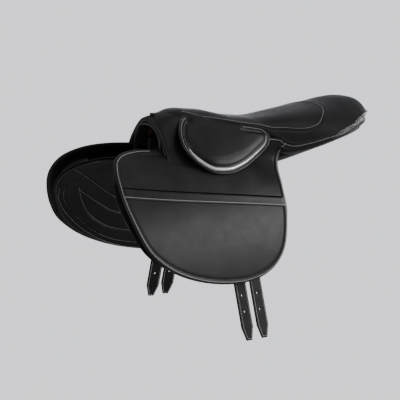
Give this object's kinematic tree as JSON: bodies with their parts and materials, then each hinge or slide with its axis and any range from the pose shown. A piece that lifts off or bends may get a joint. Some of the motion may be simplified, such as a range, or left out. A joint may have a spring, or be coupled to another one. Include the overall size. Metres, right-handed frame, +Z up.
{
  "type": "english saddle",
  "caption": "Exercise-pattern english saddle with lifting flaps and skirts, full panels, stirrup bars and girth straps.",
  "frame": {"origin": "on the centre plane in the channel between the panels, 200 mm behind the pommel stud and 110 mm below it, where a rack carries the saddle", "axes": "+X from the pommel to the cantle, +Z up, -Y to the near (horse's left) side"},
  "size_m": [0.607, 0.3648, 0.4019],
  "materials": {
    "flap_leather": "smooth semi-matt black flap leather, fine grain",
    "seat_leather": "smooth satin black seat leather, fine grain",
    "panel_leather": "soft matt black panel leather",
    "strap_leather": "firm black strap leather with dressed edges",
    "trim_metal": "bright silver strip",
    "bar_steel": "forged and polished steel",
    "tree_steel": "black painted spring steel",
    "tree_wood": "laminated beech, varnished",
    "seat_foam": "latex foam pad",
    "webbing": "woven flax webbing",
    "stud_metal": "black enamelled nail head"
  },
  "bodies": {
    "root": {"cantle_binding": "seat_leather", "cantle_board": "tree_wood", "far_bar_rivets": "bar_steel", "far_billet_pins": "bar_steel", "far_billet_web": "webbing", "far_catch_pin": "bar_steel", "far_flap_top": "flap_leather", "far_knee_block": "panel_leather", "far_panel": "panel_leather", "far_spring_rail": "tree_steel", "far_stirrup_bar": "bar_steel", "far_sweat_flap": "flap_leather", "far_tree_rail": "tree_wood", "gullet_lining": "panel_leather", "head_plate": "tree_steel", "head_plate_rivets": "bar_steel", "long_webbing": "webbing", "near_bar_rivets": "bar_steel", "near_billet_pins": "bar_steel", "near_billet_web": "webbing", "near_catch_pin": "bar_steel", "near_flap_top": "flap_leather", "near_knee_block": "panel_leather", "near_panel": "panel_leather", "near_spring_rail": "tree_steel", "near_stirrup_bar": "bar_steel", "near_sweat_flap": "flap_leather", "near_tree_rail": "tree_wood", "pommel_arch": "tree_wood", "pommel_cover": "seat_leather", "pommel_stud": "stud_metal", "seat_border_leather": "seat_leather", "seat_centre_leather": "seat_leather", "seat_foam": "seat_foam"},
    "near_flap": {"near_flap": "flap_leather", "near_flap_band": "flap_leather"},
    "near_skirt": {"near_skirt": "seat_leather", "near_skirt_trim": "trim_metal"},
    "near_catch": {"near_bar_catch": "bar_steel"},
    "near_front_billet": {"near_front_billet": "strap_leather"},
    "near_rear_billet": {"near_rear_billet": "strap_leather"},
    "far_flap": {"far_flap": "flap_leather", "far_flap_band": "flap_leather"},
    "far_skirt": {"far_skirt": "seat_leather", "far_skirt_trim": "trim_metal"},
    "far_catch": {"far_bar_catch": "bar_steel"},
    "far_front_billet": {"far_front_billet": "strap_leather"},
    "far_rear_billet": {"far_rear_billet": "strap_leather"}
  },
  "joints": [
    {"name": "near_flap_fold", "type": "hinge", "parent": "root", "child": "near_flap", "pos_m": [-0.342, -0.12402, 0.02132], "axis": [-0.9903, -0.0452, 0.1312], "range_deg": [0, 95]},
    {"name": "near_skirt_lift", "type": "hinge", "parent": "root", "child": "near_skirt", "pos_m": [-0.15, -0.0406, 0.1096], "axis": [-0.9648, 0.1638, 0.2057], "range_deg": [0, 70]},
    {"name": "near_catch_turn", "type": "hinge", "parent": "root", "child": "near_catch", "pos_m": [-0.066, -0.055, 0.055], "axis": [0, -1, 0], "range_deg": [0, 80]},
    {"name": "near_front_billet_swing", "type": "hinge", "parent": "root", "child": "near_front_billet", "pos_m": [-0.105, -0.11654, -0.048], "axis": [0.1492, -0.969, 0.1971], "range_deg": [-8, 0.5]},
    {"name": "near_rear_billet_swing", "type": "hinge", "parent": "root", "child": "near_rear_billet", "pos_m": [-0.072, -0.11614, -0.048], "axis": [0.1492, -0.969, 0.1971], "range_deg": [-0.5, 8]},
    {"name": "far_flap_fold", "type": "hinge", "parent": "root", "child": "far_flap", "pos_m": [-0.342, 0.12402, 0.02132], "axis": [0.9903, -0.0452, -0.1312], "range_deg": [0, 95]},
    {"name": "far_skirt_lift", "type": "hinge", "parent": "root", "child": "far_skirt", "pos_m": [-0.15, 0.0406, 0.1096], "axis": [0.9648, 0.1638, -0.2057], "range_deg": [0, 70]},
    {"name": "far_catch_turn", "type": "hinge", "parent": "root", "child": "far_catch", "pos_m": [-0.066, 0.055, 0.055], "axis": [0, -1, 0], "range_deg": [0, 80]},
    {"name": "far_front_billet_swing", "type": "hinge", "parent": "root", "child": "far_front_billet", "pos_m": [-0.105, 0.11654, -0.048], "axis": [0.1492, 0.969, 0.1971], "range_deg": [-0.5, 8]},
    {"name": "far_rear_billet_swing", "type": "hinge", "parent": "root", "child": "far_rear_billet", "pos_m": [-0.072, 0.11614, -0.048], "axis": [0.1492, 0.969, 0.1971], "range_deg": [-8, 0.5]}
  ]
}
